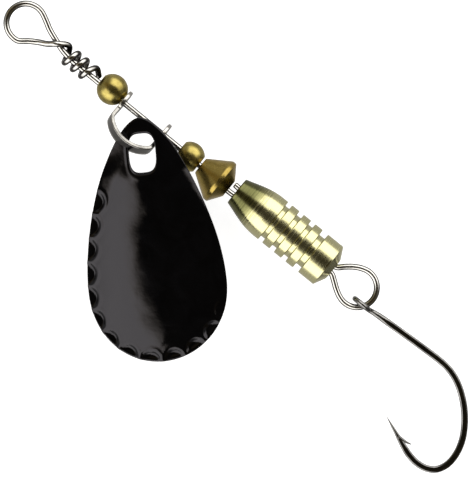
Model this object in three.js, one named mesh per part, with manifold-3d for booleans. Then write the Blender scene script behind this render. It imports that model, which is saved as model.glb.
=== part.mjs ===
// Inline spinner: a fishing lure with an oval blade that turns around a straight wire shaft.
//
// X runs along the shaft from the line eye to the hook and Z is up. The lure lies on its side, with
// the turned body, the left edge of the blade and the bend of the hook near the ground. Lengths are
// in millimetres. Pieces are placed along the shaft from x = 0 at the middle of the front bead, with
// y = 0 and z = 0 on the shaft's axis, and the finished group is moved so that its origin is the
// middle of its footprint on the ground.

import * as THREE from 'three';
import { mergeVertices } from 'three/addons/utils/BufferGeometryUtils.js';
import { ParametricGeometry } from 'three/addons/geometries/ParametricGeometry.js';
import Module from 'manifold-3d';

const wasm = await Module();
wasm.setup();

const degree = Math.PI / 180;
const fullTurn = 2 * Math.PI;

// Wire shaft: one length of spring wire, wrapped into the line eye at the front and doubled back
// through the body at the rear.
const wireRadius = 0.385;
const eyeCentre = { x: -13.75, y: 0.0 };
const eyeRadius = 2.42;
const wrapRadius = 1.0;
const wrapCentreY = 0.2;
const wrapPitch = 1.325;
const wrapStartX = -7.2;
const loopCentre = { x: 39.25, y: 0.55 };
const loopRadius = 2.47;
const mainStrandY = -0.1;
const tailStrandY = 0.8;
const tailEndX = 19.25;

// Beads, spacer and body, all turned and bored.
const frontBead = { x: -0.1, y: 0.4, radius: 1.97, halfLength: 1.78, bore: 0.82 };
const rearBead = { x: 12.7, y: 0, radius: 1.9, halfLength: 1.5, bore: 0.7 };
const spacer = { frontX: 14.45, rimX: 17.35, rimEndX: 17.75, rearX: 19.03 };
const spacerRadius = { front: 1.12, rim: 3.0, rear: 1.2, bore: 0.8 };
const bodyFrontX = 19.95;
const bodyRearX = 35.5;
const bodyY = 0.4;
const bodyRadius = 3.02;
const bodyBore = 0.97;
const bodyCountersink = { radius: 1.2, depth: 1.2 };
const bodyNoseRadius = 1.9;
const bodyShoulderX = 25.85;
const ringPitch = 1.87;
const ringWidth = 1.2;
const ringCount = 3;
const grooveWidth = 0.62;
const grooveRadius = 2.42;
const rearGrooveRadius = 2.3;
const rearSectionX = 32.27;
const rearSectionEndX = 34.7;
const rearFaceRadius = 1.45;
const cornerChamfer = 0.14;

// Clevis: a folded strip with a round eye at each end, tilted about the shaft.
const clevisFrontX = 2.01;
const clevisRearX = 8.27;
const clevisTilt = 27 * degree;
const stripThickness = 0.5;
const stripWidth = 1.9;
const clevisEyeRadius = 1.7;
const clevisBore = 0.55;
const legLength = 2.75;
const bowDepth = 4.25;

// Blade: an oval sheet, arched across its width and bowed a little along its length, with an oval
// hole near its narrow end. Its own frame has the middle of the hole at the origin, Y towards the
// narrow end and Z out of the domed side.
const bladeLength = 30.6;
const bladeWidth = 17.7;
const bladeWidestAt = 9.4;
const broadEndPower = 2.1;
const taperShift = 0.592;
const taperPower = 0.552;
const bladeThickness = 0.5;
const bladeArch = 1.6;
const bladeBow = 0.5;
const holeFromBroadEnd = 26.15;
const holeHalfWidth = 1.7;
const holeHalfLength = 2.42;
const holeRoundness = 0.625;
const bladePlace = new THREE.Vector3(8.04, -3.16, 0.5);
const bladeHeading = 44.5 * degree;
const bladeRoll = -11 * degree;
const bladePitch = 2 * degree;

// Hook: a single hook with a ringed eye of round wire, hanging on the rear loop. Its shank and bend
// are forged wider than the wire in the plane of the bend and flatter across it.
const hookPlace = new THREE.Vector3(41.1, -0.7, 0);
const hookPivot = new THREE.Vector3(0.28, 0, 0);
const hookRingRadius = 1.18;
const hookWireRadius = 0.34;
const forgedRadius = 0.43;
const forgedFlatness = 0.68;
const hookTipRadius = 0.02;
const hookDroop = 7 * degree;

function solidFrom(geometry) {
  const bare = geometry.clone();
  bare.deleteAttribute('normal');
  bare.deleteAttribute('uv');
  const merged = mergeVertices(bare, 1e-4);
  return new wasm.Manifold(new wasm.Mesh({
    numProp: 3,
    vertProperties: merged.attributes.position.array,
    triVerts: new Uint32Array(merged.index.array),
  }));
}

function geometryFrom(solid) {
  const mesh = solid.getMesh();
  const geometry = new THREE.BufferGeometry();
  geometry.setAttribute('position', new THREE.BufferAttribute(mesh.vertProperties, 3));
  geometry.setIndex(new THREE.BufferAttribute(mesh.triVerts, 1));
  geometry.computeVertexNormals();
  return geometry;
}

// A round tube along a curve.
function tubeAlong(curve, radius, stepLength) {
  const section = new THREE.Shape();
  section.absarc(0, 0, radius, 0, fullTurn, false);
  return new THREE.ExtrudeGeometry(section, {
    steps: Math.round(curve.getLength() / stepLength),
    curveSegments: 4,
    extrudePath: curve,
  });
}

// A turned piece around the X axis. The profile lists [x, radius] pairs and closes on itself.
function turned(profile, segments) {
  const ring = profile.map(([x, radius]) => new THREE.Vector2(radius, x));
  ring.push(ring[0].clone());
  return new THREE.LatheGeometry(ring, segments).rotateZ(-Math.PI / 2);
}

function arcPoints(centre, radius, fromDegrees, toDegrees, stepDegrees) {
  const points = [];
  const count = Math.round(Math.abs(toDegrees - fromDegrees) / stepDegrees);
  for (let i = 0; i <= count; i++) {
    const angle = (fromDegrees + (toDegrees - fromDegrees) * i / count) * degree;
    points.push(new THREE.Vector3(
      centre.x + radius * Math.cos(angle),
      centre.y + radius * Math.sin(angle),
      0,
    ));
  }
  return points;
}

// A point on the wrap around the shaft. Angle 0 is on top, 90 degrees is at high Y.
function wrapPoint(angleDegrees, x) {
  const angle = angleDegrees * degree;
  return new THREE.Vector3(
    x,
    wrapCentreY + wrapRadius * Math.sin(angle),
    wrapRadius * Math.cos(angle),
  );
}

// The whole wire from the cut end of the wrap, round the line eye, along the shaft, round the rear
// loop and back through the body to the cut end of the tail.
function wireCurve() {
  const points = [wrapPoint(1240, -2.4), wrapPoint(1170, -3.3)];
  for (let angle = 1080; angle >= 180; angle -= 45) {
    points.push(wrapPoint(angle, wrapStartX + wrapPitch * (angle - 180) / 360));
  }
  points.push(
    wrapPoint(90, -7.75),
    new THREE.Vector3(-9.05, 0.4, 0.86),
    new THREE.Vector3(-10, -0.35, 0.42),
    new THREE.Vector3(-11, -0.87, 0.1),
    new THREE.Vector3(-12, -1.5, 0),
    ...arcPoints(eyeCentre, eyeRadius, -75, -285, 21),
    new THREE.Vector3(-12, 1.84, 0),
    new THREE.Vector3(-11, 1.3, 0),
    new THREE.Vector3(-10, 0.9, 0),
    new THREE.Vector3(-9, 0.56, -0.04),
    new THREE.Vector3(-8, 0.25, 0),
    new THREE.Vector3(-6.8, 0.05, 0),
    new THREE.Vector3(-5, 0, 0),
    new THREE.Vector3(0, 0, 0),
    new THREE.Vector3(12, 0, 0),
    new THREE.Vector3(16, -0.12, 0),
    new THREE.Vector3(19.3, -0.28, 0),
    new THREE.Vector3(20.4, -0.2, 0),
    new THREE.Vector3(22, mainStrandY, 0),
    new THREE.Vector3(34.9, mainStrandY, 0),
    new THREE.Vector3(35.7, -0.14, 0),
    new THREE.Vector3(36.4, -0.57, 0),
    new THREE.Vector3(37.3, -1.2, 0),
    ...arcPoints(loopCentre, loopRadius, -115, 115, 23),
    new THREE.Vector3(37.3, 2.3, 0),
    new THREE.Vector3(36.4, 1.57, 0),
    new THREE.Vector3(35.7, 0.92, 0),
    new THREE.Vector3(34.9, tailStrandY, 0),
    new THREE.Vector3(22, tailStrandY, 0),
    new THREE.Vector3(20.5, tailStrandY, 0),
    new THREE.Vector3(tailEndX, 0.86, 0),
  );
  return new THREE.CatmullRomCurve3(points, false, 'centripetal');
}

function beadGeometry({ radius, halfLength, bore }) {
  const profile = [[-halfLength, bore]];
  const reach = Math.asin(halfLength / radius);
  const arcs = 12;
  for (let i = 0; i <= arcs; i++) {
    const angle = -reach + 2 * reach * i / arcs;
    profile.push([radius * Math.sin(angle), radius * Math.cos(angle)]);
  }
  profile.push([halfLength, bore]);
  return turned(profile, 32);
}

function spacerGeometry() {
  const edge = 0.1;
  return turned([
    [spacer.frontX, spacerRadius.bore],
    [spacer.frontX, spacerRadius.front],
    [spacer.rimX - edge, spacerRadius.rim - edge],
    [spacer.rimX + edge, spacerRadius.rim],
    [spacer.rimEndX - edge, spacerRadius.rim],
    [spacer.rimEndX + edge, spacerRadius.rim - edge],
    [spacer.rearX, spacerRadius.rear],
    [spacer.rearX, spacerRadius.bore],
  ], 36);
}

// The chamfered outline of a cylindrical stretch of the body.
function ringProfile(startX, endX) {
  return [
    [startX, bodyRadius - cornerChamfer],
    [startX + cornerChamfer, bodyRadius],
    [endX - cornerChamfer, bodyRadius],
    [endX, bodyRadius - cornerChamfer],
  ];
}

function bodyGeometry() {
  const profile = [
    [bodyFrontX + bodyCountersink.depth, bodyBore],
    [bodyFrontX, bodyCountersink.radius],
    [bodyFrontX, bodyNoseRadius - cornerChamfer],
    [bodyFrontX + cornerChamfer, bodyNoseRadius],
  ];
  // The nose swells along a quarter of a sine wave to the full radius.
  const noseSteps = 6;
  const noseLength = 4.9;
  for (let i = 1; i <= noseSteps; i++) {
    const along = i / noseSteps;
    const swell = Math.sin(along * Math.PI / 2) ** 1.1;
    profile.push([
      bodyFrontX + cornerChamfer + along * noseLength,
      bodyNoseRadius + (bodyRadius - bodyNoseRadius) * swell,
    ]);
  }
  profile.push([bodyShoulderX - cornerChamfer, bodyRadius]);
  profile.push([bodyShoulderX, bodyRadius - cornerChamfer]);
  const firstRingX = bodyShoulderX + grooveWidth;
  let grooveStartX = bodyShoulderX;
  for (let i = 0; i < ringCount; i++) {
    const ringX = firstRingX + i * ringPitch;
    profile.push([grooveStartX, grooveRadius], [ringX, grooveRadius]);
    profile.push(...ringProfile(ringX, ringX + ringWidth));
    grooveStartX = ringX + ringWidth;
  }
  profile.push([grooveStartX, rearGrooveRadius], [rearSectionX, rearGrooveRadius]);
  profile.push(...ringProfile(rearSectionX, rearSectionEndX));
  profile.push([bodyRearX, rearFaceRadius], [bodyRearX, bodyBore]);
  return turned(profile, 36);
}

// The clevis is the overlap of a bent strip, as wide as its eyes, and the outline of the flat strip
// seen along the shaft. The bow lies at low Y and the strip's width lies along Z.
function clevisGeometry() {
  const halfWidth = (clevisRearX - clevisFrontX) / 2;
  const middleX = (clevisFrontX + clevisRearX) / 2;
  const half = stripThickness / 2;
  const sagitta = bowDepth - legLength;
  const bowRadius = (halfWidth ** 2 + sagitta ** 2) / (2 * sagitta);
  const bowCentreY = -bowDepth + bowRadius;
  const bowAngle = Math.asin(halfWidth / bowRadius);

  const bend = new THREE.Shape();
  const tipY = clevisEyeRadius + 1;
  const outerLegY = bowCentreY - Math.sqrt((bowRadius + half) ** 2 - (halfWidth + half) ** 2);
  const innerLegY = bowCentreY - Math.sqrt((bowRadius - half) ** 2 - (halfWidth - half) ** 2);
  bend.moveTo(-halfWidth - half, tipY);
  bend.lineTo(-halfWidth - half, outerLegY);
  const outerAngle = Math.asin((halfWidth + half) / (bowRadius + half));
  const down = -Math.PI / 2;
  bend.absarc(0, bowCentreY, bowRadius + half, down - outerAngle, down + outerAngle, false);
  bend.lineTo(halfWidth + half, tipY);
  bend.lineTo(halfWidth - half, tipY);
  bend.lineTo(halfWidth - half, innerLegY);
  const innerAngle = Math.asin((halfWidth - half) / (bowRadius - half));
  bend.absarc(0, bowCentreY, bowRadius - half, down + innerAngle, down - innerAngle, true);
  bend.lineTo(-halfWidth + half, tipY);
  bend.closePath();
  const bentStrip = new THREE.ExtrudeGeometry(bend, {
    depth: 2 * clevisEyeRadius + 1,
    bevelEnabled: false,
    curveSegments: Math.round(bowAngle / (4 * degree)),
  }).translate(middleX, 0, -clevisEyeRadius - 0.5);

  // Outline in the plane across the shaft: the shape's x is Z and its y is Y.
  const outline = new THREE.Shape();
  const waist = Math.asin(stripWidth / 2 / clevisEyeRadius);
  outline.moveTo(stripWidth / 2, -bowDepth - 1);
  outline.absarc(0, 0, clevisEyeRadius, down + waist, down + fullTurn - waist, false);
  outline.lineTo(-stripWidth / 2, -bowDepth - 1);
  outline.closePath();
  const hole = new THREE.Path();
  hole.absarc(0, 0, clevisBore, 0, fullTurn, true);
  outline.holes.push(hole);
  const flatStrip = new THREE.ExtrudeGeometry(outline, {
    depth: clevisRearX - clevisFrontX + 2,
    bevelEnabled: false,
    curveSegments: 10,
  }).rotateY(Math.PI / 2).translate(clevisFrontX - 1, 0, 0);
  return geometryFrom(solidFrom(bentStrip).intersect(solidFrom(flatStrip)));
}

// Half the blade's width at a distance from its broad end: half an ellipse up to the widest place,
// then a taper to the rounded narrow end.
function bladeHalfWidth(fromBroadEnd) {
  if (fromBroadEnd <= 0 || fromBroadEnd >= bladeLength) {
    return 0;
  }
  if (fromBroadEnd < bladeWidestAt) {
    const along = (bladeWidestAt - fromBroadEnd) / bladeWidestAt;
    return bladeWidth / 2 * Math.sqrt(1 - along ** broadEndPower);
  }
  const share = fromBroadEnd / bladeLength;
  return bladeWidth / 2 * Math.sin(Math.PI * share ** taperShift) ** taperPower;
}

function bladeHeight(x, fromBroadEnd) {
  const across = x / (bladeWidth / 2);
  const along = 2 * fromBroadEnd / bladeLength - 1;
  return bladeArch * (1 - across ** 2) - bladeBow * along ** 2;
}

// The blade is a closed sheet between the outline and the hole: each cross-section runs out over the
// top from the hole to the outline and back underneath.
function bladeGeometry() {
  const aroundSteps = 56;
  const acrossSteps = 6;
  const rings = 2 * (acrossSteps + 1);
  const place = (u, v, target) => {
    const turn = u >= 1 ? 0 : u;
    const side = turn < 0.5 ? -1 : 1;
    const half = turn < 0.5 ? 2 * turn : 2 - 2 * turn;
    const outerFrom = bladeLength * (1 - Math.cos(Math.PI * half)) / 2;
    const outerX = side * bladeHalfWidth(outerFrom);
    const outerY = outerFrom - holeFromBroadEnd;
    const holeAngle = -Math.PI / 2 + Math.PI * half;
    const holeX = side * holeHalfWidth * Math.abs(Math.cos(holeAngle)) ** holeRoundness;
    const sine = Math.sin(holeAngle);
    const holeY = holeHalfLength * Math.sign(sine) * Math.abs(sine) ** holeRoundness;

    const ring = Math.round(v * rings) % rings;
    const onTop = ring <= acrossSteps;
    const step = onTop ? ring : rings - 1 - ring;
    const out = step / acrossSteps;
    const x = holeX + (outerX - holeX) * out;
    const y = holeY + (outerY - holeY) * out;
    const lift = bladeHeight(x, y + holeFromBroadEnd);
    target.set(x, y, lift + (onTop ? bladeThickness : 0));
  };
  return new ParametricGeometry(place, aroundSteps, rings);
}

// The hook lies in its own XY plane with the middle of its ring at the origin and the shank along X.
function hookGeometry() {
  const bend = new THREE.CatmullRomCurve3([
    new THREE.Vector3(hookRingRadius, 0.06, 0),
    new THREE.Vector3(2.2, 0.2, 0),
    new THREE.Vector3(8.9, 0.6, 0),
    new THREE.Vector3(12.1, 0.72, 0),
    new THREE.Vector3(13.6, 0.62, 0),
    new THREE.Vector3(15.1, 0.2, 0),
    new THREE.Vector3(16.6, -0.6, 0),
    new THREE.Vector3(18.2, -1.85, 0),
    new THREE.Vector3(19.6, -3.4, 0),
    new THREE.Vector3(20.7, -5.2, 0),
    new THREE.Vector3(21.25, -7.1, 0),
    new THREE.Vector3(21.2, -8.8, 0),
    new THREE.Vector3(20.55, -10.1, 0),
    new THREE.Vector3(19.5, -10.8, 0),
    new THREE.Vector3(18.2, -11.05, 0),
    new THREE.Vector3(16.9, -10.93, 0),
    new THREE.Vector3(15.7, -10.6, 0),
  ], false, 'centripetal');
  const ring = new THREE.TorusGeometry(hookRingRadius, hookWireRadius, 8, 20).rotateX(Math.PI / 2);

  const pointStart = new THREE.Vector3(15.95, -10.67, 0);
  const pointEnd = new THREE.Vector3(11.42, -8.95, 0);
  const pointVector = pointEnd.clone().sub(pointStart);
  const point = new THREE.CylinderGeometry(hookTipRadius, forgedRadius, pointVector.length(), 8)
    .translate(0, pointVector.length() / 2, 0)
    .applyQuaternion(new THREE.Quaternion().setFromUnitVectors(
      new THREE.Vector3(0, 1, 0),
      pointVector.clone().normalize(),
    ))
    .translate(pointStart.x, pointStart.y, pointStart.z)
    .scale(1, 1, forgedFlatness);

  const barbThickness = 0.24;
  const barbShape = new THREE.Shape();
  barbShape.moveTo(14.3, -10.05);
  barbShape.lineTo(15.6, -10.6);
  barbShape.lineTo(16.05, -9.7);
  barbShape.closePath();
  const barb = new THREE.ExtrudeGeometry(barbShape, {
    depth: barbThickness,
    bevelEnabled: false,
  }).translate(0, 0, -barbThickness / 2);

  const shank = solidFrom(tubeAlong(bend, forgedRadius, 0.75).scale(1, 1, forgedFlatness));
  return geometryFrom(shank.add(solidFrom(ring)).add(solidFrom(point)).add(solidFrom(barb)));
}

function piece(name, geometry, look) {
  const mesh = new THREE.Mesh(geometry, new THREE.MeshStandardMaterial(look));
  mesh.name = name;
  return mesh;
}

const steel = { color: 0xc4c2bd, metalness: 1, roughness: 0.22 };
const brass = { color: 0x9a7a2e, metalness: 1, roughness: 0.24 };
const plating = { color: 0xc9c79a, metalness: 1, roughness: 0.28 };
const nickel = { color: 0xb9b8b4, metalness: 1, roughness: 0.25 };
const enamel = { color: 0x060607, metalness: 0, roughness: 0.12 };
const blackNickel = { color: 0x1b1b1d, metalness: 1, roughness: 0.3 };

const wireShaft = piece('wire_shaft', tubeAlong(wireCurve(), wireRadius, 0.55), steel);

const front = piece('front_bead', beadGeometry(frontBead), brass);
front.position.set(frontBead.x, frontBead.y, 0);

const rear = piece('rear_bead', beadGeometry(rearBead), brass);
rear.position.set(rearBead.x, rearBead.y, 0);

const cone = piece('cone_spacer', spacerGeometry(), brass);

const body = piece('body', bodyGeometry(), plating);
body.position.y = bodyY;

const clevis = piece('clevis', clevisGeometry(), nickel);
clevis.rotation.x = -clevisTilt;

const blade = piece('blade', bladeGeometry(), enamel);
blade.position.copy(bladePlace);
blade.rotation.set(bladePitch, bladeRoll, bladeHeading, 'ZYX');

// The hook droops about the wire of the rear loop until its bend is near the ground.
const hook = piece('hook', hookGeometry(), blackNickel);
hook.position.copy(hookPivot).negate();
const hookDrop = new THREE.Group();
hookDrop.position.copy(hookPlace).add(hookPivot);
hookDrop.rotation.y = hookDroop;
hookDrop.add(hook);

const lure = new THREE.Group();
lure.add(wireShaft, front, rear, cone, body, clevis, blade, hookDrop);

// Stand the lure on the ground with the origin in the middle of its footprint.
const spinner = new THREE.Group();
spinner.add(lure);
spinner.updateMatrixWorld(true);
const extent = new THREE.Box3().setFromObject(spinner, true);
const middle = extent.getCenter(new THREE.Vector3());
lure.position.set(-middle.x, -middle.y, -extent.min.z);

export default spinner;
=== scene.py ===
"""Inline spinner lure: smooth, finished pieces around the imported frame, on a pale studio floor.

Shapes are worked out in millimetres in the shaft's own frame: x runs along the wire from the middle
of the front bead, y and z are across it, and the shaft's axis is y = 0 and z = 0.
"""

import math

import bmesh
import bpy
from mathutils import Euler, Matrix, Vector, noise
from mathutils.kdtree import KDTree


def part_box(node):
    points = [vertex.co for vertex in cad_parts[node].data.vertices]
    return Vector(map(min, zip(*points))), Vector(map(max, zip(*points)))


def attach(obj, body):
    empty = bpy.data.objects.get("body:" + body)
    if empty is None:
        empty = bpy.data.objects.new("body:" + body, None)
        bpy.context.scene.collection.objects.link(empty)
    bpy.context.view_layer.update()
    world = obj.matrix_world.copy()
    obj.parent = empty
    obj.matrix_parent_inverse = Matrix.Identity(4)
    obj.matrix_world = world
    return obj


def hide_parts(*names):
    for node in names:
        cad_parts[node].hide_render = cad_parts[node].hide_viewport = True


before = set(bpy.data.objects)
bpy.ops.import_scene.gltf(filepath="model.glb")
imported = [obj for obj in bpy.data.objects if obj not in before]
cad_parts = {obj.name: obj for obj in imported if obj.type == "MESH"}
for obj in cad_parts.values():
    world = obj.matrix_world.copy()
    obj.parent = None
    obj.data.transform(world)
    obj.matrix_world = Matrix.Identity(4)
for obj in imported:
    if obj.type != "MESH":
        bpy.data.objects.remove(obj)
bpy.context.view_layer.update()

MM = 0.001
DEGREE = math.pi / 180
FULL_TURN = 2 * math.pi


def middle(node):
    low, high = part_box(node)
    return (low + high) / 2


# The rear bead turns on the shaft's axis, so its middle fixes the shaft's frame.
REAR_BEAD_X = 12.7
SHAFT = middle("rear_bead") - Vector((REAR_BEAD_X * MM, 0, 0))
TO_FRAME = Matrix.Translation(SHAFT) @ Matrix.Scale(MM, 4)


# ---------------------------------------------------------------- camera

VIEW_ROLL = 39.2 * DEGREE
VIEW_HEIGHT = 0.0600
LENS = 300
SENSOR = 36
AIM = Vector((23.716, -4.455, 0))


def make_camera():
    data = bpy.data.cameras.new("camera")
    data.lens = LENS
    data.sensor_width = SENSOR
    data.clip_start = 0.01
    data.clip_end = 10
    camera = bpy.data.objects.new("camera", data)
    distance = VIEW_HEIGHT * LENS / SENSOR
    camera.location = TO_FRAME @ AIM + Vector((0, 0, distance))
    camera.rotation_euler = (0, 0, VIEW_ROLL)
    bpy.context.scene.collection.objects.link(camera)
    bpy.context.scene.camera = camera


make_camera()


# ---------------------------------------------------------------- mesh tools


def spline(points, step):
    """Points about a step apart on a centripetal Catmull-Rom curve through the given points."""
    pts = [Vector(p) for p in points]
    pts = [2 * pts[0] - pts[1]] + pts + [2 * pts[-1] - pts[-2]]
    dense = []
    for i in range(len(pts) - 3):
        p0, p1, p2, p3 = pts[i:i + 4]
        t1 = math.sqrt((p1 - p0).length)
        t2 = t1 + math.sqrt((p2 - p1).length)
        t3 = t2 + math.sqrt((p3 - p2).length)
        count = max(8, int((p2 - p1).length / step * 3))
        for k in range(count):
            t = t1 + (t2 - t1) * k / count
            a1 = p0.lerp(p1, t / t1)
            a2 = p1.lerp(p2, (t - t1) / (t2 - t1))
            a3 = p2.lerp(p3, (t - t2) / (t3 - t2))
            b1 = a1.lerp(a2, t / t2)
            b2 = a2.lerp(a3, (t - t1) / (t3 - t1))
            dense.append(b1.lerp(b2, (t - t1) / (t2 - t1)))
    dense.append(pts[-2])
    return resampled(dense, step)


def resampled(dense, step):
    """The same line with its points evenly spaced, about a step apart."""
    along = [0.0]
    for a, b in zip(dense, dense[1:]):
        along.append(along[-1] + (b - a).length)
    count = max(2, round(along[-1] / step))
    even = []
    k = 0
    for i in range(count + 1):
        target = along[-1] * i / count
        while k < len(dense) - 2 and along[k + 1] < target:
            k += 1
        share = (target - along[k]) / max(1e-12, along[k + 1] - along[k])
        even.append(dense[k].lerp(dense[k + 1], min(1, share)))
    return even


def sweep(bm, line, radius_at, sides):
    """A closed round tube along a line. radius_at takes the share of the way along it.

    Its UV map holds the distance along the tube in millimetres and the share of a turn around it.
    """
    uv_layer = bm.loops.layers.uv.verify()
    count = len(line)
    tangents = [(line[min(i + 1, count - 1)] - line[max(i - 1, 0)]).normalized() for i in range(count)]
    side = tangents[0].orthogonal().normalized()
    rings = []
    distances = []
    travelled = 0
    for i, point in enumerate(line):
        if i:
            turn = tangents[i - 1].rotation_difference(tangents[i])
            side = turn @ side
            travelled += (point - line[i - 1]).length
        up = tangents[i].cross(side)
        radius = radius_at(i / (count - 1))
        ring = []
        for k in range(sides):
            angle = FULL_TURN * k / sides
            ring.append(bm.verts.new(point + radius * (math.cos(angle) * side + math.sin(angle) * up)))
        rings.append(ring)
        distances.append(travelled)
    for i in range(count - 1):
        for k in range(sides):
            after = (k + 1) % sides
            face = bm.faces.new((rings[i][k], rings[i][after], rings[i + 1][after], rings[i + 1][k]))
            places = ((i, k), (i, k + 1), (i + 1, k + 1), (i + 1, k))
            for loop, (row, column) in zip(face.loops, places):
                loop[uv_layer].uv = (distances[row], column / sides)
    bm.faces.new(list(reversed(rings[0])))
    bm.faces.new(rings[-1])


def line_length(line):
    return sum((b - a).length for a, b in zip(line, line[1:]))


def blunted(line, radius, chamfer):
    """A radius function for a tube of constant radius with a small chamfer at each cut end."""
    length = line_length(line)

    def radius_at(share):
        to_end = min(share, 1 - share) * length
        return radius - max(0, chamfer - to_end)

    return radius_at


def rounded(profile, fillet, step):
    """A closed profile with its corners rounded and its straight runs divided.

    Each run keeps a point close to each corner, so that flat faces still shade flat.
    """
    most_cut = 0.35
    arc_steps = 4
    corners = [Vector(p) for p in profile]
    total = len(corners)
    arcs = []
    for i, corner in enumerate(corners):
        before = corners[i - 1] - corner
        after = corners[(i + 1) % total] - corner
        cut = min(fillet, most_cut * before.length, most_cut * after.length)
        start = corner + before.normalized() * cut
        end = corner + after.normalized() * cut
        arc = []
        for k in range(arc_steps + 1):
            t = k / arc_steps
            arc.append((1 - t) ** 2 * start + 2 * t * (1 - t) * corner + t * t * end)
        arcs.append(arc)
    result = []
    for i, arc in enumerate(arcs):
        result.extend(arc)
        following = arcs[(i + 1) % total][0]
        run = following - arc[-1]
        if run.length < 1e-6:
            continue
        support = min(0.03, 0.25 * run.length)
        result.append(arc[-1] + run.normalized() * support)
        divisions = int(run.length / step)
        for k in range(1, divisions):
            result.append(arc[-1].lerp(following, k / divisions))
        result.append(following - run.normalized() * support)
    return result


def lathe(bm, profile, segments, centre):
    """A turned solid about the line through centre along X, from a closed profile of (x, radius)."""
    rings = []
    for k in range(segments):
        angle = FULL_TURN * k / segments
        ring = []
        for x, radius in profile:
            offset = Vector((x, radius * math.cos(angle), radius * math.sin(angle)))
            ring.append(bm.verts.new(centre + offset))
        rings.append(ring)
    count = len(profile)
    for k in range(segments):
        here, there = rings[k], rings[(k + 1) % segments]
        for i in range(count):
            after = (i + 1) % count
            bm.faces.new((here[i], here[after], there[after], there[i]))


def as_object(name, bm):
    bmesh.ops.recalc_face_normals(bm, faces=bm.faces)
    mesh = bpy.data.meshes.new(name)
    bm.to_mesh(mesh)
    bm.free()
    piece = bpy.data.objects.new(name, mesh)
    bpy.context.scene.collection.objects.link(piece)
    return piece


def apply_modifiers(piece):
    graph = bpy.context.evaluated_depsgraph_get()
    mesh = bpy.data.meshes.new_from_object(piece.evaluated_get(graph))
    piece.modifiers.clear()
    piece.data = mesh


def fuse(piece, other):
    """Joins another solid onto the piece and removes the other one."""
    union = piece.modifiers.new("union", "BOOLEAN")
    union.operation = "UNION"
    union.solver = "EXACT"
    union.object = other
    apply_modifiers(piece)
    bpy.data.objects.remove(other)


def settle(piece, node, body, material):
    piece.data.transform(TO_FRAME)
    for polygon in piece.data.polygons:
        polygon.use_smooth = True
    piece.data.materials.append(material)
    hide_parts(node)
    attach(piece, body)


# ---------------------------------------------------------------- materials


def math_node(tree, operation, *values):
    """A math node whose inputs are given as numbers or as sockets to link."""
    made = tree.nodes.new("ShaderNodeMath")
    made.operation = operation
    for socket, value in zip(made.inputs, values):
        if isinstance(value, (int, float)):
            socket.default_value = value
        else:
            tree.links.new(value, socket)
    return made.outputs[0]


class Recipe:
    """A node material: a Principled shader with textures measured in millimetres."""

    def __init__(self, name, color, metallic, roughness):
        self.material = bpy.data.materials.new(name)
        self.material.use_nodes = True
        self.tree = self.material.node_tree
        self.shader = self.tree.nodes["Principled BSDF"]
        self.shader.inputs["Base Color"].default_value = (*color, 1)
        self.shader.inputs["Metallic"].default_value = metallic
        self.shader.inputs["Roughness"].default_value = roughness
        self.relief = None

    def node(self, kind):
        return self.tree.nodes.new(kind)

    def link(self, source, target):
        self.tree.links.new(source, target)

    def place(self, source="Object", scale=(1000, 1000, 1000)):
        """Texture coordinates, in millimetres for the object's own frame."""
        coordinates = self.node("ShaderNodeTexCoord")
        mapping = self.node("ShaderNodeMapping")
        mapping.inputs["Scale"].default_value = scale
        self.link(coordinates.outputs[source], mapping.inputs["Vector"])
        return mapping.outputs["Vector"]

    def noise(self, place, scale, detail=3, roughness=0.55, distortion=0):
        texture = self.node("ShaderNodeTexNoise")
        texture.inputs["Scale"].default_value = scale
        texture.inputs["Detail"].default_value = detail
        texture.inputs["Roughness"].default_value = roughness
        texture.inputs["Distortion"].default_value = distortion
        self.link(place, texture.inputs["Vector"])
        return texture.outputs["Fac"]

    def ramp(self, value, stops):
        """Grey or colour stops, as {position: colour}."""
        ramp = self.node("ShaderNodeValToRGB")
        elements = ramp.color_ramp.elements
        for i, (position, color) in enumerate(stops.items()):
            element = elements[i] if i < 2 else elements.new(position)
            element.position = position
            rgb = color if isinstance(color, tuple) else (color, color, color)
            element.color = (*rgb, 1)
        self.link(value, ramp.inputs["Fac"])
        return ramp.outputs["Color"]

    def math(self, operation, *values):
        return math_node(self.tree, operation, *values)

    def part(self, vector, axis):
        """One axis of a vector."""
        split = self.node("ShaderNodeSeparateXYZ")
        self.link(vector, split.inputs[0])
        return split.outputs[axis]

    def color(self, value, stops):
        self.link(self.ramp(value, stops), self.shader.inputs["Base Color"])

    def roughness(self, value, stops):
        self.link(self.ramp(value, stops), self.shader.inputs["Roughness"])

    def bump(self, value, depth_mm):
        """Relief of the given depth, on top of any relief added before."""
        bump = self.node("ShaderNodeBump")
        bump.inputs["Strength"].default_value = 1
        bump.inputs["Distance"].default_value = depth_mm * MM
        self.link(value, bump.inputs["Height"])
        if self.relief:
            self.link(self.relief, bump.inputs["Normal"])
        self.relief = bump.outputs["Normal"]
        self.link(self.relief, self.shader.inputs["Normal"])


def wire_steel():
    """Drawn stainless wire: fine lines along it, and painted shade that darkens its sides."""
    recipe = Recipe("wire_steel", (0.62, 0.6, 0.57), 1, 0.16)
    drawn = recipe.noise(recipe.place("UV", (0.25, 26, 1)), 1.6, 4, 0.6)
    recipe.bump(drawn, 0.004)
    recipe.roughness(drawn, {0.3: 0.1, 0.75: 0.22})
    cloud = recipe.noise(recipe.place(), 0.5, 4)
    # Painted shade: the colour goes dark where the surface faces sideways instead of up, with a little
    # noise where it changes.
    facing = recipe.math("ABSOLUTE", recipe.part(recipe.place("Normal", (1, 1, 1)), "Z"))
    painted_side_shade = recipe.math("MULTIPLY_ADD", cloud, 0.2, facing)
    recipe.color(painted_side_shade, {0.74: (0.06, 0.057, 0.05), 1: (0.62, 0.61, 0.58)})
    return recipe.material


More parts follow.
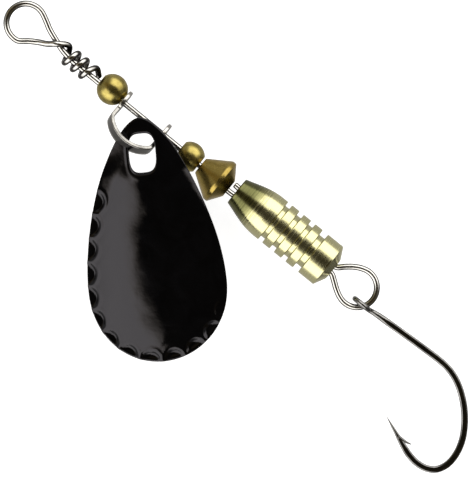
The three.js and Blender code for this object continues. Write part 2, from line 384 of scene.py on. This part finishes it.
def brass(name, bright, dark, marks_mm):
    """Polished brass with a light tarnish and fine turning marks around the X axis."""
    recipe = Recipe(name, bright, 1, 0.25)
    tarnish = recipe.noise(recipe.place(), 0.9, 5, 0.62, 0.4)
    recipe.color(tarnish, {0.34: dark, 0.62: bright})
    fine = recipe.noise(recipe.place(), 3, 3)
    recipe.roughness(fine, {0.3: 0.24, 0.75: 0.32})
    turned = recipe.noise(recipe.place("Object", (1000, 25, 25)), marks_mm, 3, 0.7)
    recipe.bump(turned, 0.0012)
    recipe.bump(fine, 0.0004)
    return recipe.material


def pale_plating():
    """Champagne gold plating: rings of tool marks, soft stains and a darker nose, part olive tarnish and
    part painted shade.
    """
    recipe = Recipe("pale_plating", (0.62, 0.6, 0.35), 1, 0.22)
    place = recipe.place()
    stain = recipe.noise(place, 0.7, 5, 0.6, 0.3)
    turned = recipe.noise(recipe.place("Object", (1000, 12, 12)), 7, 4, 0.75)
    # The nose is painted darker, part olive tarnish and part painted shade standing in for what it mirrors,
    # streaked by its turning marks.
    behind_nose = recipe.math("SUBTRACT", recipe.part(place, "X"), SHAFT.x / MM + NOSE_TARNISH_AND_SHADE_X)
    streaked = recipe.math("MULTIPLY_ADD", turned, 3.2, behind_nose)
    tarnish_and_shade_tone = recipe.math("MULTIPLY_ADD", streaked, 0.4, recipe.math("MULTIPLY", stain, 0.5))
    recipe.color(tarnish_and_shade_tone, {
        0: (0.13, 0.13, 0.05),
        0.42: (0.3, 0.29, 0.13),
        0.75: (0.64, 0.61, 0.34),
    })
    recipe.bump(turned, 0.004)
    recipe.roughness(turned, {0.3: 0.15, 0.8: 0.34})
    recipe.bump(recipe.noise(place, 3, 2), 0.0004)
    return recipe.material


def bright_nickel():
    """Nickel plated strip, its colour painted across its width: painted highlights along both edges and a
    painted dark band down its middle.
    """
    recipe = Recipe("bright_nickel", (0.66, 0.64, 0.6), 1, 0.2)
    cloud = recipe.noise(recipe.place(), 0.9, 4)
    across = recipe.part(recipe.place("UV", (1, 1, 1)), "Y")
    # Painted light across the strip's width: the bright bands by its edges stand in for highlights, and the
    # dark band between them stands in for shade.
    recipe.color(recipe.math("MULTIPLY_ADD", cloud, 0.16, across), {
        0.12: (0.5, 0.49, 0.46),
        0.34: (0.45, 0.44, 0.41),
        0.46: (0.09, 0.086, 0.078),
        0.81: (0.1, 0.096, 0.088),
        0.9: (0.5, 0.485, 0.455),
    })
    rolled = recipe.noise(recipe.place("Object", (700, 700, 9000)), 1.4, 4, 0.6)
    recipe.bump(rolled, 0.004)
    recipe.roughness(rolled, {0.3: 0.13, 0.75: 0.28})
    return recipe.material


def black_enamel():
    """Thick gloss enamel: faint orange peel, a fine grain and soft wear in the gloss."""
    recipe = Recipe("black_enamel", (0.0015, 0.0015, 0.002), 0, 0.08)
    recipe.shader.inputs["Specular IOR Level"].default_value = 0.38
    recipe.shader.inputs["Specular Tint"].default_value = (0.97, 0.93, 1, 1)
    haze = recipe.noise(recipe.place(), 0.35, 5, 0.6, 0.6)
    recipe.roughness(haze, {0.35: 0.04, 0.7: 0.13})
    recipe.color(haze, {0.3: (0.0008, 0.0008, 0.001), 0.7: (0.0022, 0.0022, 0.0027)})
    peel = recipe.noise(recipe.place(), 1.1, 3)
    recipe.bump(peel, 0.006)
    grain = recipe.noise(recipe.place(), 7, 2)
    recipe.bump(grain, 0.0012)
    return recipe.material


def black_nickel():
    """Black nickel plating on forged hook wire: smoky grey, with fine draw lines along it."""
    recipe = Recipe("black_nickel", (0.13, 0.127, 0.125), 1, 0.14)
    smoke = recipe.noise(recipe.place(), 0.6, 4)
    recipe.color(smoke, {0.3: (0.12, 0.117, 0.115), 0.7: (0.28, 0.275, 0.265)})
    drawn = recipe.noise(recipe.place("UV", (0.3, 20, 1)), 1.6, 4, 0.6)
    recipe.bump(drawn, 0.003)
    recipe.roughness(drawn, {0.3: 0.09, 0.75: 0.2})
    return recipe.material


# ---------------------------------------------------------------- wire shaft

WIRE_RADIUS = 0.385
EYE_CENTRE = Vector((-13.75, 0.0, 0))
EYE_RADIUS = 2.42
WRAP_RADIUS = 1.0
WRAP_CENTRE_Y = 0.2
WRAP_PITCH = 1.325
WRAP_START_X = -7.2
LOOP_CENTRE = Vector((39.25, 0.55, 0))
LOOP_RADIUS = 2.47
MAIN_Y = -0.1
TAIL_Y = 0.8


def arc(centre, radius, first, last, step):
    """Points on an arc in the XY plane, with angles in degrees."""
    count = round(abs(last - first) / step)
    angles = [(first + (last - first) * i / count) * DEGREE for i in range(count + 1)]
    return [centre + Vector((radius * math.cos(a), radius * math.sin(a), 0)) for a in angles]


def wrap_point(angle, x):
    turn = angle * DEGREE
    return (x, WRAP_CENTRE_Y + WRAP_RADIUS * math.sin(turn), WRAP_RADIUS * math.cos(turn))


def wire_route():
    """The whole wire, from the cut end of the wrap to the cut end of the rear loop's tail."""
    wrap = [
        wrap_point(angle, WRAP_START_X + WRAP_PITCH * (angle - 180) / 360)
        for angle in range(1080, 179, -45)
    ]
    return [
        wrap_point(1240, -2.4),
        wrap_point(1170, -3.3),
        *wrap,
        wrap_point(90, -7.75),
        (-9.05, 0.4, 0.86), (-10, -0.35, 0.42), (-11, -0.87, 0.1), (-12, -1.5, 0),
        *arc(EYE_CENTRE, EYE_RADIUS, -75, -285, 21),
        (-12, 1.84, 0), (-11, 1.3, 0), (-10, 0.9, 0), (-9, 0.56, -0.04), (-8, 0.25, 0),
        (-6.8, 0.05, 0), (-5, 0, 0), (0, 0, 0), (12, 0, 0), (16, -0.12, 0),
        (19.3, -0.28, 0), (20.4, -0.2, 0), (22, MAIN_Y, 0), (34.9, MAIN_Y, 0),
        (35.7, -0.14, 0), (36.4, -0.57, 0), (37.3, -1.2, 0),
        *arc(LOOP_CENTRE, LOOP_RADIUS, -115, 115, 23),
        (37.3, 2.3, 0), (36.4, 1.57, 0), (35.7, 0.92, 0), (34.9, TAIL_Y, 0),
        (22, TAIL_Y, 0), (20.5, TAIL_Y, 0), (19.25, 0.86, 0),
    ]


def build_wire():
    line = spline(wire_route(), 0.14)
    bm = bmesh.new()
    sweep(bm, line, blunted(line, WIRE_RADIUS, 0.09), 20)
    settle(as_object("shaft_wire", bm), "wire_shaft", "shaft", wire_steel())


# ---------------------------------------------------------------- beads, spacer and body


def bead_profile(radius, half_length, bore):
    """A ball cut flat at both ends, with a softened mouth to its bore."""
    reach = math.asin(half_length / radius)
    lip = 0.08
    steps = 40
    profile = [(-half_length + lip, bore), (-half_length, bore + lip)]
    for i in range(steps + 1):
        angle = -reach + 2 * reach * i / steps
        profile.append((radius * math.sin(angle), radius * math.cos(angle)))
    profile += [(half_length, bore + lip), (half_length - lip, bore)]
    return profile


def build_beads():
    material = brass("bead_brass", (0.44, 0.36, 0.11), (0.28, 0.22, 0.06), 5)
    for name, x, y, radius, half_length, bore in (
        ("front_bead", -0.1, 0.4, 1.97, 1.78, 0.82),
        ("rear_bead", REAR_BEAD_X, 0, 1.9, 1.5, 0.7),
    ):
        bm = bmesh.new()
        lathe(bm, bead_profile(radius, half_length, bore), 96, Vector((x, y, 0)))
        settle(as_object(name + "_ball", bm), name, name, material)


SPACER_FRONT = 14.45
SPACER_REAR = 19.03
SPACER_RADIUS = 2.99
SPACER_BORE = 0.8


def build_spacer():
    corners = [
        (SPACER_FRONT, SPACER_BORE), (SPACER_FRONT, 1.12),
        (17.3, SPACER_RADIUS), (17.8, SPACER_RADIUS),
        (SPACER_REAR, 1.2), (SPACER_REAR, SPACER_BORE),
    ]
    material = brass("spacer_brass", (0.42, 0.31, 0.085), (0.3, 0.215, 0.05), 7)
    bm = bmesh.new()
    lathe(bm, rounded(corners, 0.14, 0.12), 112, Vector((0, 0, 0)))
    settle(as_object("cone_spacer_turned", bm), "cone_spacer", "cone_spacer", material)


BODY_RADIUS = 3.01
BODY_FRONT = 19.95
BODY_REAR = 35.5
BODY_Y = 0.4
NOSE_RADIUS = 1.9
SHOULDER_X = 25.85
RING_PITCH = 1.87
RING_WIDTH = 1.2
GROOVE_WIDTH = 0.62
GROOVE_RADIUS = 2.42
NOSE_LENGTH = 4.9
REAR_GROOVE_RADIUS = 2.3
REAR_SECTION_X = 32.27
REAR_CONE_X = 34.7
REAR_FACE_RADIUS = 1.45
BODY_BORE = 0.97
NOSE_TARNISH_AND_SHADE_X = 24.1
TOOLED_FROM_RADIUS = 1.6
TOOL_MARK_DEPTH = 0.004
NOSE_MARK_DEPTH = 0.012


def body_corners():
    """The body's closed profile before its edges are softened."""
    corners = [
        (BODY_FRONT + 1.2, BODY_BORE),
        (BODY_FRONT, 1.2),
        (BODY_FRONT, NOSE_RADIUS - 0.1),
        (BODY_FRONT + 0.12, NOSE_RADIUS),
    ]
    steps = 14
    for i in range(1, steps + 1):
        along = i / steps
        swell = math.sin(along * math.pi / 2) ** 1.1
        corners.append((
            BODY_FRONT + 0.14 + along * NOSE_LENGTH,
            NOSE_RADIUS + (BODY_RADIUS - NOSE_RADIUS) * swell,
        ))
    corners.append((SHOULDER_X, BODY_RADIUS))
    groove_start = SHOULDER_X
    for i in range(3):
        ring = SHOULDER_X + GROOVE_WIDTH + i * RING_PITCH
        corners += [
            (groove_start, GROOVE_RADIUS), (ring, GROOVE_RADIUS),
            (ring, BODY_RADIUS), (ring + RING_WIDTH, BODY_RADIUS),
        ]
        groove_start = ring + RING_WIDTH
    corners += [
        (groove_start, REAR_GROOVE_RADIUS), (REAR_SECTION_X, REAR_GROOVE_RADIUS),
        (REAR_SECTION_X, BODY_RADIUS), (REAR_CONE_X, BODY_RADIUS),
        (BODY_REAR, REAR_FACE_RADIUS), (BODY_REAR, BODY_BORE),
    ]
    return corners


def tool_marked(x, radius):
    """Shallow turning marks on the outside of the body, deepest on the nose."""
    if radius < TOOLED_FROM_RADIUS:
        return radius
    on_nose = max(0, min(1, (BODY_FRONT + 5.2 - x) / 1.5))
    depth = TOOL_MARK_DEPTH + NOSE_MARK_DEPTH * on_nose
    return radius - depth * (0.5 + noise.noise(Vector((x * 5.5, 3.1, 0))))


def build_body():
    profile = [(x, tool_marked(x, r)) for x, r in rounded(body_corners(), 0.12, 0.07)]
    bm = bmesh.new()
    lathe(bm, profile, 128, Vector((0, BODY_Y, 0)))
    settle(as_object("body_turned", bm), "body", "shaft", pale_plating())


# ---------------------------------------------------------------- clevis

CLEVIS_FRONT = 2.01
CLEVIS_REAR = 8.27
CLEVIS_TILT = -27 * DEGREE
STRIP_HALF_WIDTH = 0.95
STRIP_THICKNESS = 0.5
CLEVIS_EYE = 1.7
CLEVIS_BORE = 0.55
LEG = 2.75
BOW_DEPTH = 4.25
CORNER_LENGTH = 0.7
EDGE_BEVEL = 0.17
EDGE_ANGLE = 50 * DEGREE


def clevis_path():
    """The strip's middle line from the front eye to the rear one, as (distance, point)."""
    half = (CLEVIS_REAR - CLEVIS_FRONT) / 2
    sagitta = BOW_DEPTH - LEG
    bow_radius = (half ** 2 + sagitta ** 2) / (2 * sagitta)
    bow_half_angle = math.asin(half / bow_radius)
    bow_length = 2 * bow_half_angle * bow_radius
    corner_turn = math.pi / 2 - bow_half_angle
    total = 2 * LEG + bow_length
    start = -CLEVIS_EYE - 0.2
    step = 0.02
    path = []
    heading = -math.pi / 2
    point = Vector((CLEVIS_FRONT, -start, 0))
    count = round((total - 2 * start) / step)
    for i in range(count + 1):
        s = start + i * step
        path.append((s, point.copy()))
        turn = 0
        if LEG < s < total - LEG:
            turn += 1 / bow_radius
        for bend in (LEG, total - LEG):
            if abs(s - bend) < CORNER_LENGTH / 2:
                turn += corner_turn / CORNER_LENGTH
        heading += turn * step
        point += step * Vector((math.cos(heading), math.sin(heading), 0))
    return path, total


def eye_quads(eye_s, direction, angles):
    """Rings of quads round one eye's bore, as (along, across) places on the flat strip."""
    rings = 5
    quads = []
    for k, angle in enumerate(angles):
        after = angles[(k + 1) % len(angles)]
        for j in range(rings):
            inner = CLEVIS_BORE + (CLEVIS_EYE - CLEVIS_BORE) * j / rings
            outer = CLEVIS_BORE + (CLEVIS_EYE - CLEVIS_BORE) * (j + 1) / rings
            quads.append([
                (eye_s + direction * r * math.cos(a), r * math.sin(a))
                for r, a in ((inner, angle), (outer, angle), (outer, after), (inner, after))
            ])
    return quads


def strip_quads(waist_angles, total):
    """Quads of the flat strip between its two eyes, as (along, across) places."""
    along = 70
    quads = []
    for k in range(len(waist_angles) - 1):
        for j in range(along):
            quad = []
            for column, row in ((k, j), (k + 1, j), (k + 1, j + 1), (k, j + 1)):
                angle = waist_angles[column]
                first = CLEVIS_EYE * math.cos(angle)
                s = first + (total - 2 * first) * row / along
                quad.append((s, CLEVIS_EYE * math.sin(angle)))
            quads.append(quad)
    return quads


def build_clevis():
    path, total = clevis_path()
    start = path[0][0]
    step = path[1][0] - start
    tilt = Matrix.Rotation(CLEVIS_TILT, 4, "X")

    def bent(s, w):
        index = max(0, min(len(path) - 1, round((s - start) / step)))
        return tilt @ (path[index][1] + Vector((0, 0, w)))

    # Round each eye, the waist is the part of the turn where the strip leaves it.
    waist = math.asin(STRIP_HALF_WIDTH / CLEVIS_EYE)
    across = 10
    around = 44
    waist_angles = [-waist + 2 * waist * k / across for k in range(across + 1)]
    other_angles = [waist + (FULL_TURN - 2 * waist) * k / around for k in range(1, around)]
    angles = waist_angles + other_angles
    quads = eye_quads(0, 1, angles) + eye_quads(total, -1, angles) + strip_quads(waist_angles, total)

    bm = bmesh.new()
    uv_layer = bm.loops.layers.uv.verify()
    for places in quads:
        face = bm.faces.new([bm.verts.new(bent(s, w)) for s, w in places])
        for loop, (s, w) in zip(face.loops, places):
            loop[uv_layer].uv = (s, 0.5 + w / (2 * CLEVIS_EYE))
    bmesh.ops.remove_doubles(bm, verts=bm.verts, dist=0.012)
    piece = as_object("clevis_strip", bm)
    thick = piece.modifiers.new("thickness", "SOLIDIFY")
    thick.thickness = STRIP_THICKNESS
    thick.offset = 0
    bevel = piece.modifiers.new("edges", "BEVEL")
    bevel.width = EDGE_BEVEL
    bevel.segments = 4
    bevel.limit_method = "ANGLE"
    bevel.angle_limit = EDGE_ANGLE
    apply_modifiers(piece)
    settle(piece, "clevis", "clevis", bright_nickel())


# ---------------------------------------------------------------- blade

BLADE_LENGTH = 30.6
BLADE_WIDTH = 17.7
WIDEST_AT = 9.4
BLADE_THICKNESS = 0.5
BLADE_ARCH = 1.6
BLADE_BOW = 0.5
BROAD_END_POWER = 2.1
TAPER_SHIFT = 0.592
TAPER_POWER = 0.552
HOLE_ROUNDNESS = 0.625
HOLE_LIP = 0.03
HOLE_FROM_END = 26.15
HOLE_HALF_WIDTH = 1.7
HOLE_HALF_LENGTH = 2.42
BLADE_PLACE = Vector((8.04, -3.16, 0.5))
BLADE_TURN = Euler((2 * DEGREE, -11 * DEGREE, 44.5 * DEGREE), "XYZ")

SCALLOP_RADIUS = 1.4
SCALLOP_PITCH = 3.05
SCALLOP_DEPTH = 0.52
SCALLOP_WALL_START = 0.72
SCALLOP_CREST = 0.04
SCALLOP_CREST_WIDTH = 0.2
SCALLOPS_END = 0.74
RIM_WIDTH = 2.0
RIM_NARROWING = 1.55
RIM_LIFT = 0.34
HOLE_RISE = 0.2
HOLE_RISE_WIDTH = 2.4
WAVE_HEIGHT = 0.02
RIPPLE_HEIGHT = 0.005


def smooth_step(low, high, value):
    t = max(0, min(1, (value - low) / (high - low)))
    return t * t * (3 - 2 * t)


def blade_half_width(from_end):
    if from_end <= 0 or from_end >= BLADE_LENGTH:
        return 0
    if from_end < WIDEST_AT:
        along = (WIDEST_AT - from_end) / WIDEST_AT
        return BLADE_WIDTH / 2 * math.sqrt(1 - along ** BROAD_END_POWER)
    share = from_end / BLADE_LENGTH
    return BLADE_WIDTH / 2 * math.sin(math.pi * share ** TAPER_SHIFT) ** TAPER_POWER


def dome_height(x, from_end):
    """The sheet's rise: arched across its width and bowed a little towards both ends."""
    across = x / (BLADE_WIDTH / 2)
    along = 2 * from_end / BLADE_LENGTH - 1
    bow_power = 2 if along > 0 else 4
    return BLADE_ARCH * (1 - across ** 2) - BLADE_BOW * along ** bow_power


def side_and_climb(share):
    """The side (1 right, -1 left) and the share of the climb to the narrow end, for a share of the turn."""
    if share < 0.5:
        return 1, 2 * share
    return -1, 2 - 2 * share


def outline_point(share):
    """The blade's outline, from the broad end (0) up the right side to the narrow end (0.5) and back."""
    side, half = side_and_climb(share)
    from_end = BLADE_LENGTH * (1 - math.cos(math.pi * half)) / 2
    return Vector((side * blade_half_width(from_end), from_end))


def hole_point(share):
    """The edge of the oblong hole, in step with outline_point."""
    side, half = side_and_climb(share)
    angle = -math.pi / 2 + math.pi * half
    sine = math.sin(angle)
    return Vector((
        side * HOLE_HALF_WIDTH * abs(math.cos(angle)) ** HOLE_ROUNDNESS,
        HOLE_FROM_END + HOLE_HALF_LENGTH * math.copysign(abs(sine) ** HOLE_ROUNDNESS, sine),
    ))


def scallop_centres():
    """Middles and strengths of the half-moons stamped round the broad end and up both sides.

    The stamp bites deep along the left side and fades out a little way up the right side.
    """
    steps = 1000
    samples = [outline_point(k / (2 * steps)) for k in range(steps + 1)]
    centres = []
    travelled = SCALLOP_PITCH / 2
    for a, b in zip(samples, samples[1:]):
        travelled += (b - a).length
        if travelled >= SCALLOP_PITCH and b.y < SCALLOPS_END * BLADE_LENGTH:
            travelled -= SCALLOP_PITCH
            centres.append((Vector((-b.x, b.y)), 1))
            centres.append((b.copy(), 1 - smooth_step(2, 8, b.y)))
    return centres


SCALLOPS = scallop_centres()


def outline_tree():
    count = 1500
    tree = KDTree(count)
    for k in range(count):
        tree.insert(outline_point(k / count).to_3d(), k)
    tree.balance()
    return tree


OUTLINE = outline_tree()


def scallop_relief(point, from_edge):
    """Each half-moon has a steep curved wall and a floor that ramps up to the blade's edge."""
    relief = 0
    depth = SCALLOP_DEPTH * min(1, 0.1 + from_edge / (0.85 * SCALLOP_RADIUS))
    for centre, strength in SCALLOPS:
        away = (point - centre).length
        if away < 2 * SCALLOP_RADIUS:
            inside = 1 - smooth_step(SCALLOP_WALL_START * SCALLOP_RADIUS, SCALLOP_RADIUS, away)
            crest = math.exp(-((away - 1.12 * SCALLOP_RADIUS) / SCALLOP_CREST_WIDTH) ** 2)
            relief += strength * (SCALLOP_CREST * crest - depth * inside)
    return relief


def rim_relief(y, from_edge):
    """The rim is flattened, less so where the half-moons are and not at all round the hole."""
    rim_width = RIM_WIDTH - RIM_NARROWING * (1 - smooth_step(14, 22, y))
    if from_edge >= rim_width:
        return 0
    lift = RIM_LIFT * rim_width / RIM_WIDTH * (1 - smooth_step(23.5, 26.5, y))
    return lift * (1 - from_edge / rim_width) ** 2


def swell_relief(x, y):
    """The sheet swells a little below the hole."""
    below_hole = smooth_step(16, 22, y) * (1 - smooth_step(23, 25, y))
    return HOLE_RISE * below_hole * math.exp(-(x / HOLE_RISE_WIDTH) ** 2)


def blade_relief(x, y):
    """Height of the stamped and enamelled detail above the plain arch."""
    point = Vector((x, y))
    from_edge = OUTLINE.find(point.to_3d())[2]
    wave = noise.noise(Vector((x * 0.32, y * 0.32, 0.7))) * WAVE_HEIGHT
    ripple = noise.noise(Vector((x * 0.9, y * 0.9, 4.1))) * RIPPLE_HEIGHT
    stamped = scallop_relief(point, from_edge) + rim_relief(y, from_edge) + swell_relief(x, y)
    return stamped + wave + ripple


def mid_surface(x, y):
    """The middle of the sheet's thickness, before its stamped detail."""
    return Vector((x, y, dome_height(x, y) + BLADE_THICKNESS / 2))


def surface_normal(x, y):
    d = 0.02
    slope_x = (dome_height(x + d, y) - dome_height(x - d, y)) / (2 * d)
    slope_y = (dome_height(x, y + d) - dome_height(x, y - d)) / (2 * d)
    return Vector((-slope_x, -slope_y, 1)).normalized()


def blade_section(outer, inner, shares):
    """A closed loop round the sheet's thickness, on a line from the hole's edge to the outline."""
    half = BLADE_THICKNESS / 2
    rim_steps = 6
    way = (outer - inner).normalized()
    outward = Vector((way.x, way.y, 0))
    start = inner + way * half
    span = (outer - way * half) - start
    last = start + span
    top = []
    under = []
    for t in shares:
        p = start + span * t
        middle_point = mid_surface(p.x, p.y)
        thickness = surface_normal(p.x, p.y) * half
        height = blade_relief(p.x, p.y)
        near_hole = HOLE_LIP * math.exp(-((p - inner).length - 0.5) ** 2 / 0.1)
        top.append(middle_point + thickness + Vector((0, 0, height + near_hole)))
        under.append(middle_point - thickness + Vector((0, 0, height)))
    outer_edge = []
    edge_relief = Vector((0, 0, blade_relief(last.x, last.y)))
    normal = surface_normal(last.x, last.y)
    for k in range(1, rim_steps):
        angle = math.pi / 2 - math.pi * k / rim_steps
        offset = outward * half * math.cos(angle) + normal * half * math.sin(angle)
        outer_edge.append(mid_surface(last.x, last.y) + edge_relief + offset)
    hole_edge = []
    normal = surface_normal(start.x, start.y)
    for k in range(1, rim_steps):
        angle = -math.pi / 2 + math.pi * k / rim_steps
        lip = HOLE_LIP * smooth_step(-1, 1, math.sin(angle))
        offset = -outward * half * math.cos(angle) + normal * (half * math.sin(angle) + lip)
        hole_edge.append(mid_surface(start.x, start.y) + offset)
    return top + outer_edge + list(reversed(under)) + hole_edge


def build_blade():
    around = 360
    across = 56
    shares = []
    for j in range(across + 1):
        t = j / across
        shares.append(0.5 * (t + math.sin(math.pi * t / 2) ** 1.3))
    turn = BLADE_TURN.to_matrix()
    bm = bmesh.new()
    verts = []
    for i in range(around):
        section = blade_section(outline_point(i / around), hole_point(i / around), shares)
        placed = [turn @ (p - Vector((0, HOLE_FROM_END, 0))) + BLADE_PLACE for p in section]
        verts.append([bm.verts.new(p) for p in placed])
    rows = len(verts[0])
    for i in range(around):
        here, there = verts[i], verts[(i + 1) % around]
        for j in range(rows):
            after = (j + 1) % rows
            bm.faces.new((here[j], here[after], there[after], there[j]))
    piece = as_object("blade_domed", bm)
    settle(piece, "blade", "blade", black_enamel())


# ---------------------------------------------------------------- hook

HOOK_PLACE = Vector((41.1, -0.7, 0))
HOOK_PIVOT = Vector((0.28, 0, 0))
HOOK_RING = 1.18
HOOK_WIRE = 0.34
HOOK_DROOP = 7 * DEGREE
# The shank and bend are forged: wider than the wire, pressed flatter above and below.
FORGED_RADIUS = 0.43
FORGED_HALF = 0.3
POINT_LENGTH = 4.9
TIP_RADIUS = 0.02
BARB_TIP_RADIUS = 0.03
BARB_WIDENING = 0.26


def hook_route():
    """From the cut end of the ring, round it, along the shank and round the bend to the point."""
    ring = [
        (HOOK_RING * math.cos(a * DEGREE), 0.0, HOOK_RING * math.sin(a * DEGREE))
        for a in range(-335, -40, 22)
    ]
    return [
        *ring,
        (1.28, 0.04, -0.46), (1.75, 0.12, -0.12), (2.4, 0.2, 0), (3.4, 0.27, 0),
        (8.9, 0.6, 0), (12.1, 0.72, 0), (13.6, 0.62, 0), (15.1, 0.2, 0), (16.6, -0.6, 0),
        (18.2, -1.85, 0), (19.6, -3.4, 0), (20.7, -5.2, 0), (21.25, -7.1, 0), (21.2, -8.8, 0),
        (20.55, -10.1, 0), (19.5, -10.8, 0), (18.2, -11.05, 0), (16.9, -10.93, 0),
        (15.7, -10.58, 0), (13.6, -9.78, 0), (11.42, -8.95, 0),
    ]


def hook_radius(length):
    """A radius function for the hook's wire: forged wider past the ring, and tapered to the point."""

    def radius_at(share):
        to_point = (1 - share) * length
        from_cut = share * length
        taper = min(1, to_point / POINT_LENGTH)
        widened = HOOK_WIRE + (FORGED_RADIUS - HOOK_WIRE) * smooth_step(6.5, 9, from_cut)
        radius = TIP_RADIUS + (widened - TIP_RADIUS) * taper ** 0.85
        return radius * (0.75 + 0.25 * min(1, from_cut / 1.5)) - max(0, 0.06 - from_cut)

    return radius_at


def build_hook():
    line = spline(hook_route(), 0.12)
    bm = bmesh.new()
    sweep(bm, line, hook_radius(line_length(line)), 28)
    for vert in bm.verts:
        forging = smooth_step(2.4, 4.5, vert.co.x)
        pressed = FORGED_HALF * math.tanh(vert.co.z / FORGED_HALF)
        vert.co.z += forging * (pressed - vert.co.z)
    hook = as_object("hook_single", bm)

    barb_line = spline([(14.1, -9.98, 0), (14.9, -9.93, 0), (15.5, -9.83, 0), (16.05, -9.68, 0)], 0.08)
    bm = bmesh.new()
    sweep(bm, barb_line, lambda share: BARB_TIP_RADIUS + BARB_WIDENING * (1 - share) ** 0.7, 12)
    fuse(hook, as_object("barb", bm))

    drop = Matrix.Translation(HOOK_PLACE + HOOK_PIVOT) @ Matrix.Rotation(HOOK_DROOP, 4, "Y")
    hook.data.transform(drop @ Matrix.Translation(-HOOK_PIVOT))
    settle(hook, "hook", "hook", black_nickel())


# ---------------------------------------------------------------- studio

FLOOR_HALF_SIZE = 1.5
WALL_RADIUS = 1.45
WALL_HEIGHT = 1.2
BANK_LIGHT = 2.3
LOW_BANK_LIGHT = 0.4
FRONT_SCREEN_LIGHT = 0.27
LEAST_LIGHT = 0.028


def pale_surface(name, emission):
    recipe = Recipe(name, (0.5, 0.5, 0.5), 0, 0.9)
    cloud = recipe.noise(recipe.place("Object", (1, 1, 1)), 30, 3)
    recipe.color(cloud, {0.3: (0.48, 0.48, 0.48), 0.7: (0.52, 0.52, 0.52)})
    recipe.shader.inputs["Emission Color"].default_value = (1, 1, 1, 1)
    recipe.shader.inputs["Emission Strength"].default_value = emission
    return recipe.material


def build_floor():
    """A pale floor with a pale wall far behind it. The metals mirror the studio tent instead."""
    bm = bmesh.new()
    bmesh.ops.create_grid(bm, x_segments=8, y_segments=8, size=FLOOR_HALF_SIZE)
    floor = as_object("floor", bm)
    floor.data.materials.append(pale_surface("pale_floor", 0.92))
    floor.visible_glossy = False

    bm = bmesh.new()
    sides = 64
    ring = arc(Vector((0, 0, 0)), WALL_RADIUS, 0, 360, 360 / sides)[:sides]
    low = [bm.verts.new(point) for point in ring]
    high = [bm.verts.new(point + Vector((0, 0, WALL_HEIGHT))) for point in ring]
    for k in range(sides):
        after = (k + 1) % sides
        bm.faces.new((low[k], low[after], high[after], high[k]))
    wall = as_object("backdrop", bm)
    wall.data.materials.append(pale_surface("pale_backdrop", 0.9))
    wall.visible_glossy = False
    wall.visible_diffuse = False
    wall.visible_shadow = False


def fade(tree, value, low, high, start, end):
    """A smooth change from start to end while the value goes from low to high."""
    made = tree.nodes.new("ShaderNodeMapRange")
    made.interpolation_type = "SMOOTHSTEP"
    for key, number in zip(("From Min", "From Max", "To Min", "To Max"), (low, high, start, end)):
        made.inputs[key].default_value = number
    tree.links.new(value, made.inputs["Value"])
    return made.outputs["Result"]


def tent_strength(tree, x, z, angle, inner_edge):
    """Bright banks beside the shaft, a dimmer screen beyond the line eye, and dark straight overhead."""
    opened = fade(tree, inner_edge, 24 * DEGREE, 32 * DEGREE, 0, 1)
    closed = fade(tree, angle, 84 * DEGREE, 93 * DEGREE, BANK_LIGHT, LOW_BANK_LIGHT)
    along = fade(tree, math_node(tree, "ABSOLUTE", x), 0.45, 0.8, 1, 0.06)
    bank = math_node(tree, "MULTIPLY", math_node(tree, "MULTIPLY", opened, closed), along)
    front_end = fade(tree, x, -0.75, -0.3, FRONT_SCREEN_LIGHT, 0.06)
    overhead = fade(tree, z, 0.65, 0.9, 1, 0)
    rest = math_node(tree, "MULTIPLY", overhead, front_end)
    return math_node(tree, "ADD", bank, math_node(tree, "ADD", rest, LEAST_LIGHT))


def build_world():
    """A studio tent that lights the lure and is mirrored in its metals."""
    world = bpy.data.worlds.new("studio")
    bpy.context.scene.world = world
    world.use_nodes = True
    tree = world.node_tree
    background = tree.nodes["Background"]
    coordinates = tree.nodes.new("ShaderNodeTexCoord")
    split = tree.nodes.new("ShaderNodeSeparateXYZ")
    tree.links.new(coordinates.outputs["Generated"], split.inputs[0])
    x, y, z = split.outputs
    # The angle is measured from straight up. The banks' inner edge moves in and out along X.
    angle = math_node(tree, "ARCTAN2", math_node(tree, "ABSOLUTE", y), z)
    bowed = fade(tree, x, -0.3, -0.15, 0, 2.5 * DEGREE)
    straight = fade(tree, x, -0.1, -0.04, 0, -10 * DEGREE)
    inner_edge = math_node(tree, "ADD", angle, math_node(tree, "ADD", bowed, straight))
    tree.links.new(tent_strength(tree, x, z, angle, inner_edge), background.inputs["Strength"])
    # The dark overhead is warm, like unlit card.
    color = tree.nodes.new("ShaderNodeCombineColor")
    color.inputs["Red"].default_value = 1
    for channel, overhead, beside in (("Green", 0.8, 0.985), ("Blue", 0.45, 0.96)):
        tinted = fade(tree, inner_edge, 16 * DEGREE, 34 * DEGREE, overhead, beside)
        tree.links.new(tinted, color.inputs[channel])
    tree.links.new(color.outputs["Color"], background.inputs["Color"])
    bpy.context.scene.view_settings.view_transform = "Standard"


build_wire()
build_beads()
build_spacer()
build_body()
build_clevis()
build_blade()
build_hook()
build_floor()
build_world()
